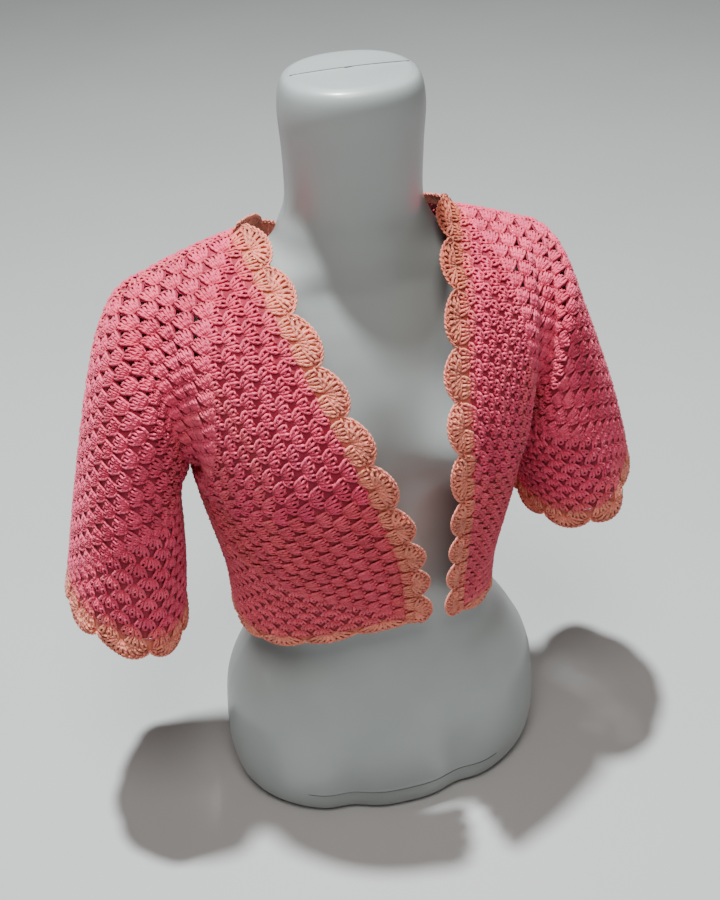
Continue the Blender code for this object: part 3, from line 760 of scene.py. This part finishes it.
def lay_border_web(strip, web):
    along = np.linspace(0.0, strip.length / MM, strip.lobes * BORDER_WEB_POINTS + 1)
    shares = np.array(BORDER_WEB_SHARES)
    edge = strip.reach(along * MM) / MM - BORDER_WEB_INSET_MM
    out = edge[:, None] * shares[None, :]
    point, normal = strip.place(along[:, None] + np.zeros_like(out), out)
    tints = painted_shade_web_tint(strip.colours(along), BORDER_WEB_PAINTED_SHADE)[:, None]
    web.sheets(point + normal * WEB_MM * MM, tints)


def lay_border(strip, maker):
    """A row of clusters where the border is wide enough, then the fans of its scallops and the rim."""
    size = strip.size
    pitch = strip.length / MM / strip.lobes
    centres = (np.arange(strip.lobes) + 0.5) * pitch
    if size.inner_mm:
        t = (np.arange(2 * strip.lobes) + 0.5) * 0.5 * pitch
        colour = strip.colours(t) * rng.uniform(*INNER_SHADES, (len(t), 1))
        salmon = rng.uniform(0.0, 1.0, len(t)) > INNER_SALMON["above"]
        colour = mix(colour, SALMON, salmon[:, None] * INNER_SALMON["share"])
        for start, end in zip(INNER_BASE_MM, INNER_TOP_MM):
            base = np.stack([t + start, np.full_like(t, INNER_START_MM)], axis=-1)
            top = np.stack([t + end, np.full_like(t, size.inner_mm + INNER_LAP_MM)], axis=-1)
            lay_stitches(maker, strip.place, base, top, colour)
    foot = max(size.inner_mm - FAN_LAP_MM, 0.0)
    for post in range(size.posts):
        turn = 2.0 * post / (size.posts - 1) - 1.0
        t = centres + FAN_HALF * pitch * turn
        end = strip.reach(t * MM) / MM - RIM_MM + rng.uniform(*FAN_TOPS_MM, len(t))
        base = np.stack([centres + FAN_FOOT_MM * turn, np.full_like(t, foot)], axis=-1)
        top = np.stack([t - FAN_LEAN_MM * turn, end], axis=-1)
        colour = strip.colours(centres) * rng.uniform(*FAN_SHADES, (len(t), 1))
        lay_stitches(maker, strip.place, base, top, colour, spread=FAN_SPREAD, size=FAN_SIZE)
    lay_rim(strip, maker)


def make_border(strip, wool):
    maker, web = MeshMaker(), MeshMaker()
    lay_border(strip, maker)
    lay_border_web(strip, web)
    sheet = web.make(f"{strip.name}_web", wool)
    threads = maker.make(f"{strip.name}_stitches", wool)
    for piece in (sheet, threads):
        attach(piece, "root")
        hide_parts(strip.name)


def side_strips(side, grids):
    """The front, hem and cuff strips of one side, along the same lines as in the solids."""
    front, back, sleeve = grids["front"], grids["back"], grids["sleeve"]
    down = unit(sleeve[-1, :, :3] - sleeve[-2, :, :3])
    strips = [Strip(f"{side}_cuff_border", sleeve[-1], down, closed=True)]
    hem = np.concatenate([front[0], back[0, ::-1][1:]])
    above = np.concatenate([front[1], back[1, ::-1][1:]])
    hem_down = unit(hem[:, :3] - above[:, :3])
    strips.append(Strip(f"{side}_hem_border", hem, hem_down))
    size = BORDERS[f"{side}_hem_border"]
    foot = front[0, 0].copy()
    foot[:3] += hem_down[0] * (size.width + 0.5 * size.depth)
    edge = np.concatenate([[foot], front[:, 0]])
    outward = unit(front[:, 0, :3] - front[:, 1, :3])
    outward = np.concatenate([[outward[0]], outward])
    strips.append(Strip(f"{side}_front_border", edge, outward))
    return strips


NECK_AXIS_Y = 0.009


def neck_strip(right, left):
    """The strip round the back of the neck; it leans towards the form's neck."""
    right_half = right["back"][-1, : NECK_COLUMNS + 1][::-1]
    left_half = left["back"][-1, 1 : NECK_COLUMNS + 1]
    line = np.concatenate([right_half, left_half])
    inward = np.array([0.0, NECK_AXIS_Y, 0.0]) - line[:, :3]
    inward[:, 2] = 0.0
    return Strip("neck_border", line, unit(inward))


# The dress form, with more rings and points than the solid
FormRing = namedtuple("FormRing", "height half_width front back centre_y")
FORM_RINGS = [FormRing(*row) for row in (
    (0.000, 0.145, 0.094, 0.090, 0.000),
    (0.005, 0.154, 0.102, 0.099, 0.000),
    (0.019, 0.162, 0.107, 0.107, 0.000),
    (0.048, 0.166, 0.109, 0.112, 0.000),
    (0.085, 0.165, 0.107, 0.115, 0.000),
    (0.128, 0.159, 0.104, 0.111, 0.000),
    (0.170, 0.140, 0.096, 0.097, 0.000),
    (0.208, 0.113, 0.086, 0.081, 0.000),
    (0.248, 0.099, 0.079, 0.073, 0.000),
    (0.290, 0.102, 0.080, 0.075, 0.001),
    (0.335, 0.110, 0.084, 0.081, 0.002),
    (0.385, 0.119, 0.088, 0.087, 0.003),
    (0.435, 0.127, 0.090, 0.091, 0.004),
    (0.480, 0.137, 0.086, 0.090, 0.005),
    (0.515, 0.146, 0.077, 0.083, 0.006),
    (0.542, 0.150, 0.067, 0.075, 0.006),
    (0.562, 0.147, 0.059, 0.067, 0.007),
    (0.577, 0.129, 0.054, 0.059, 0.008),
    (0.589, 0.101, 0.054, 0.055, 0.009),
    (0.603, 0.075, 0.055, 0.053, 0.010),
    (0.621, 0.064, 0.055, 0.054, 0.011),
    (0.642, 0.0575, 0.0555, 0.0550, 0.009),
    (0.685, 0.0575, 0.0560, 0.0555, 0.004),
    (0.716, 0.0590, 0.0575, 0.0570, 0.001),
    (0.734, 0.0575, 0.0560, 0.0555, -0.001),
    (0.744, 0.0538, 0.0522, 0.0516, -0.002),
    (0.748, 0.0475, 0.0460, 0.0455, -0.002),
)]
FORM_SQUARENESS = 2.2
BUST = {"x": 0.070, "z": 0.432, "across": 0.036, "reach": 0.040, "rise": 0.036, "fade": 1.6}
GROIN = {"x": 0.056, "z": 0.015, "reach": 0.020, "height": 0.070, "depth": 0.006}
FORM_POINTS = 160
RING_STEPS = 6
CAP_SHARES = (0.93, 0.80, 0.6, 0.35, 0.1)  # rings that round the top of the neck off
CAP_RISE = 0.0012

# A faint moulded line low on the front, and extra rings so that it shows
RIDGE = {"z": 0.034, "across": 0.105, "fade": 0.02, "reach": 0.0016, "rise": 0.0007}
RIDGE_FROM, RIDGE_TO = 0.083, 0.112  # shares of the way through FORM_RINGS
RIDGE_RINGS = 24

# The mould seam down each side and over the cap
SEAM_RISE = 0.0005
SEAM_REACH = 0.0014
SEAM_SHADE = 0.35  # share of the plastic's colour for the seam lines: a dark line over the cap, and painted shade along the ridge low on the front
SEAM_SIDES = 6
SEAM_POINTS = 13


def form_ring(row):
    """Points of one ring of the form, with the bust, the groin, the ridge and the seams."""
    height, half_width, front, back, centre_y = row
    turn = 2.0 * math.pi * np.arange(FORM_POINTS) / FORM_POINTS
    square = 2.0 / FORM_SQUARENESS
    x = half_width * np.sign(np.cos(turn)) * np.abs(np.cos(turn)) ** square
    deep = np.abs(np.sin(turn)) ** square
    ahead = np.sin(turn) < 0.0
    y = np.where(ahead, -front * deep, back * deep)
    level = math.exp(-(((height - BUST["z"]) / BUST["reach"]) ** 2))
    near = np.exp(-(((np.abs(x) - BUST["x"]) / BUST["across"]) ** 2))
    fade = np.minimum(1.0, BUST["fade"] * deep)
    y = y - np.where(ahead, BUST["rise"] * level * near * fade, 0.0)
    groin = math.exp(-(((height - GROIN["z"]) / GROIN["height"]) ** 2))
    crease = np.exp(-(((np.abs(x) - GROIN["x"]) / GROIN["reach"]) ** 2))
    y = y + np.where(ahead, GROIN["depth"] * groin * crease, 0.0)
    ridge = math.exp(-(((height - RIDGE["z"]) / RIDGE["reach"]) ** 2))
    ridge = ridge * ease((RIDGE["across"] - np.abs(x)) / RIDGE["fade"])
    y = y - np.where(ahead, RIDGE["rise"] * ridge, 0.0)
    seam = np.exp(-((y / SEAM_REACH) ** 2)) * np.sign(x) * SEAM_RISE
    return np.stack([x + seam, y + centre_y, np.full(FORM_POINTS, height)], axis=-1)


def ridge_line(rows):
    """The line along the ridge, low on the front."""
    nearest = rows[np.argmin(np.abs(rows[:, 0] - RIDGE["z"]))]
    ring = form_ring(nearest)
    line = ring[(ring[:, 1] < 0.0) & (np.abs(ring[:, 0]) < RIDGE["across"])]
    line[:, 1] -= 0.5 * SEAM_RISE
    return line


def cap_line(crown, middle):
    """The line of the seam over the cap, from side to side."""
    across = np.linspace(-1.0, 1.0, SEAM_POINTS)
    line = middle + across[:, None] * [crown[:, 0].max(), 0.0, 0.0]
    line[:, 2] += SEAM_RISE + CAP_RISE * (1.0 - across**2)
    return line


def make_form(plastic):
    steps = (len(FORM_RINGS) - 1) * RING_STEPS
    places = np.linspace(0.0, 1.0, steps + 1)
    near_ridge = np.linspace(RIDGE_FROM, RIDGE_TO, RIDGE_RINGS)
    rows = spline(FORM_RINGS, np.unique(np.concatenate([places, near_ridge])))
    rings = [form_ring(row) for row in rows]
    crown = rings[-1]
    middle = np.array([0.0, FORM_RINGS[-1].centre_y, crown[0, 2]])
    for share in CAP_SHARES:
        ring = middle + (crown - middle) * share
        ring[:, 2] += CAP_RISE * (1.0 - share**2)
        ring[:, 2] += SEAM_RISE * np.exp(-(((ring[:, 1] - middle[1]) / SEAM_REACH) ** 2))
        rings.append(ring)
    points = np.array(rings)
    index = np.arange(points[..., 0].size).reshape(points.shape[:2])
    ahead = np.roll(index, -1, axis=1)
    quads = np.stack([index[:-1], ahead[:-1], ahead[1:], index[1:]], axis=-1).reshape(-1, 4)
    maker = MeshMaker()
    maker.add(points, [quads, index[:1, ::-1], index[-1:]], np.ones_like(points), np.zeros_like(points))
    seams = ((ridge_line(rows), (0.0, 0.0, 1.0)), (cap_line(crown, middle), (0.0, 1.0, 0.0)))
    for line, beside in seams:
        lines = line[None]
        normals = np.broadcast_to(beside, lines.shape)
        maker.tubes(lines, normals, SEAM_RISE, SEAM_SIDES, np.full_like(lines, SEAM_SHADE))
    form = maker.make("form_shell", plastic)
    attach(form, "root")
    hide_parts("dress_form")


class Material:
    """A new material, and short ways to add nodes to it."""

    def __init__(self, name):
        self.made = bpy.data.materials.new(name)
        self.made.use_nodes = True
        self.nodes, self.links = self.made.node_tree.nodes, self.made.node_tree.links
        self.shader = self.nodes["Principled BSDF"]
        self.place = self.nodes.new("ShaderNodeTexCoord").outputs["Object"]

    def feed(self, node, inputs):
        """Set a node's inputs to values, or link them to the outputs of other nodes."""
        for key, value in inputs.items():
            if isinstance(value, bpy.types.NodeSocket):
                self.links.new(value, node.inputs[key])
            else:
                node.inputs[key].default_value = value

    def node(self, kind, inputs, **settings):
        """The outputs of a new node."""
        made = self.nodes.new(f"ShaderNode{kind}")
        for name, value in settings.items():
            setattr(made, name, value)
        self.feed(made, inputs)
        return made.outputs

    def maths(self, operation, *values):
        return self.node("Math", dict(enumerate(values)), operation=operation)[0]

    def noise(self, scale, detail):
        return self.node("TexNoise", {"Vector": self.place, "Scale": scale, "Detail": detail})["Fac"]

    def attribute(self, name, output):
        return self.node("Attribute", {}, attribute_name=name)[output]

    def ramp(self, value, stops):
        """A colour that runs between two stops, each a place and a colour."""
        ramp = self.nodes.new("ShaderNodeValToRGB")
        for element, (position, colour) in zip(ramp.color_ramp.elements, stops):
            element.position = position
            element.color = (*colour, 1.0)
        self.links.new(value, ramp.inputs[0])
        return ramp.outputs[0]

    def bump(self, height, strength, distance):
        return self.node("Bump", {"Height": height, "Strength": strength, "Distance": distance})[0]


PLY_TURN = 2.0 * math.pi / 0.0042  # one twist of the yarn for each 4.2 mm


def wool_material():
    """Soft plied wool: colour from the stitches with a mottle, a spiral ply and fine fibres as bump."""
    look = Material("plied_wool")
    bright = look.maths("MULTIPLY_ADD", look.noise(90.0, 3.0), 0.5, 0.75)
    tint = look.attribute("tint", "Color")
    mottled = look.node("VectorMath", {0: tint, "Scale": bright}, operation="SCALE")[0]
    ply = look.node("SeparateXYZ", {0: look.attribute("ply", "Vector")})
    turn = look.maths("MULTIPLY", ply[2], PLY_TURN)
    one = look.maths("MULTIPLY", ply[0], look.maths("COSINE", turn))
    two = look.maths("MULTIPLY", ply[1], look.maths("SINE", turn))
    spiral = look.maths("ADD", one, two)
    height = look.maths("MULTIPLY_ADD", look.noise(1400.0, 2.0), 1.1, spiral)
    look.feed(look.shader, {
        "Base Color": mottled,
        "Roughness": 0.88,
        "Specular IOR Level": 0.25,
        "Sheen Weight": 0.22,
        "Sheen Roughness": 0.45,
        "Sheen Tint": (1.0, 0.72, 0.70, 1.0),
        "Normal": look.bump(height, 0.55, 0.0006),
    })
    return look.made


PLASTIC_STOPS = ((0.3, (0.30, 0.33, 0.325)), (0.7, (0.35, 0.38, 0.375)))


def plastic_material():
    """Satin white moulded plastic with a very faint orange-peel."""
    look = Material("satin_plastic")
    cloud = look.ramp(look.noise(9.0, 3.0), PLASTIC_STOPS)
    tint = look.attribute("tint", "Color")
    look.feed(look.shader, {
        "Base Color": look.node("VectorMath", {0: cloud, 1: tint}, operation="MULTIPLY")[0],
        "Roughness": look.maths("MULTIPLY_ADD", look.noise(26.0, 4.0), 0.16, 0.27),
        "Coat Weight": 0.25,
        "Coat Roughness": 0.2,
        "Normal": look.bump(look.noise(420.0, 2.0), 0.05, 0.0004),
    })
    return look.made


FLOOR_STOPS = ((0.0, (0.46, 0.46, 0.46)), (1.0, (0.50, 0.50, 0.50)))
FLOOR_HALF = 6.0


def floor_material():
    look = Material("pale_floor")
    colour = look.ramp(look.noise(3.0, 2.0), FLOOR_STOPS)
    look.feed(look.shader, {"Base Color": colour, "Roughness": 0.9})
    return look.made


def add_floor():
    mesh = bpy.data.meshes.new("floor")
    corners = [(x * FLOOR_HALF, y * FLOOR_HALF, 0.0) for x, y in ((-1, -1), (1, -1), (1, 1), (-1, 1))]
    mesh.from_pydata(corners, [], [(0, 1, 2, 3)])
    mesh.materials.append(floor_material())
    floor = add_object("floor", mesh)


# The camera, fitted to the outline of the photo
VIEW = {"azimuth": -11.94, "elevation": 34.75, "roll": -3.19, "distance": 1.197}
AIM = {"sideways": -0.0082, "height": 0.3857}
FOCAL_PIXELS, PICTURE_HEIGHT_PIXELS = 1271.4, 900
SENSOR_MM = 36.0
LENS_MM = FOCAL_PIXELS / PICTURE_HEIGHT_PIXELS * SENSOR_MM


def add_camera():
    a, e, r = (math.radians(VIEW[k]) for k in ("azimuth", "elevation", "roll"))
    right = Vector((math.cos(a), math.sin(a), 0.0))
    back = Vector((math.sin(a) * math.cos(e), -math.cos(a) * math.cos(e), math.sin(e)))
    up = back.cross(right)
    turned_right = right * math.cos(r) + up * math.sin(r)
    turned_up = up * math.cos(r) - right * math.sin(r)
    target = Vector((AIM["sideways"] * math.cos(a), AIM["sideways"] * math.sin(a), AIM["height"]))
    data = bpy.data.cameras.new("camera")
    data.lens = LENS_MM
    data.clip_start = 0.05
    camera = add_object("camera", data)
    camera.matrix_world = Matrix((turned_right, turned_up, back)).transposed().to_4x4()
    camera.location = target + back * VIEW["distance"]
    bpy.context.scene.camera = camera


Light = namedtuple("Light", "name place aim size power colour")
LIGHTS = [
    Light("key", (-0.30, 0.12, 3.4), (0.0, 0.0, 0.42), 0.18, 218.0, (0.93, 0.99, 1.0)),
    Light("front_fill", (-0.3, -1.2, 2.7), (0.0, 0.0, 0.38), 1.2, 41.0, (1.0, 0.95, 0.91)),
]
ROOM = {"colour": (1.0, 0.95, 0.89, 1.0), "strength": 0.10}


def add_lights():
    for light in LIGHTS:
        data = bpy.data.lights.new(light.name, "AREA")
        data.shape = "DISK"
        data.size = light.size
        data.energy = light.power
        data.color = light.colour
        lamp = add_object(light.name, data)
        lamp.location = light.place
        lamp.rotation_mode = "QUATERNION"
        away = Vector(light.place) - Vector(light.aim)
        lamp.rotation_quaternion = away.to_track_quat("Z", "Y")
    world = bpy.data.worlds.new("world")
    world.use_nodes = True
    background = world.node_tree.nodes["Background"]
    background.inputs[0].default_value = ROOM["colour"]
    background.inputs[1].default_value = ROOM["strength"]
    bpy.context.scene.world = world


add_camera()
add_floor()
add_lights()
wool = wool_material()
make_form(plastic_material())
grids = {side: panel_grids(side) for side in SIDES}
for side in SIDES:
    make_panels(side, {face: flat_map(grids[side], face) for face in ("front", "back")}, wool)
    for strip in side_strips(side, grids[side]):
        make_border(strip, wool)
make_border(neck_strip(grids["right"], grids["left"]), wool)
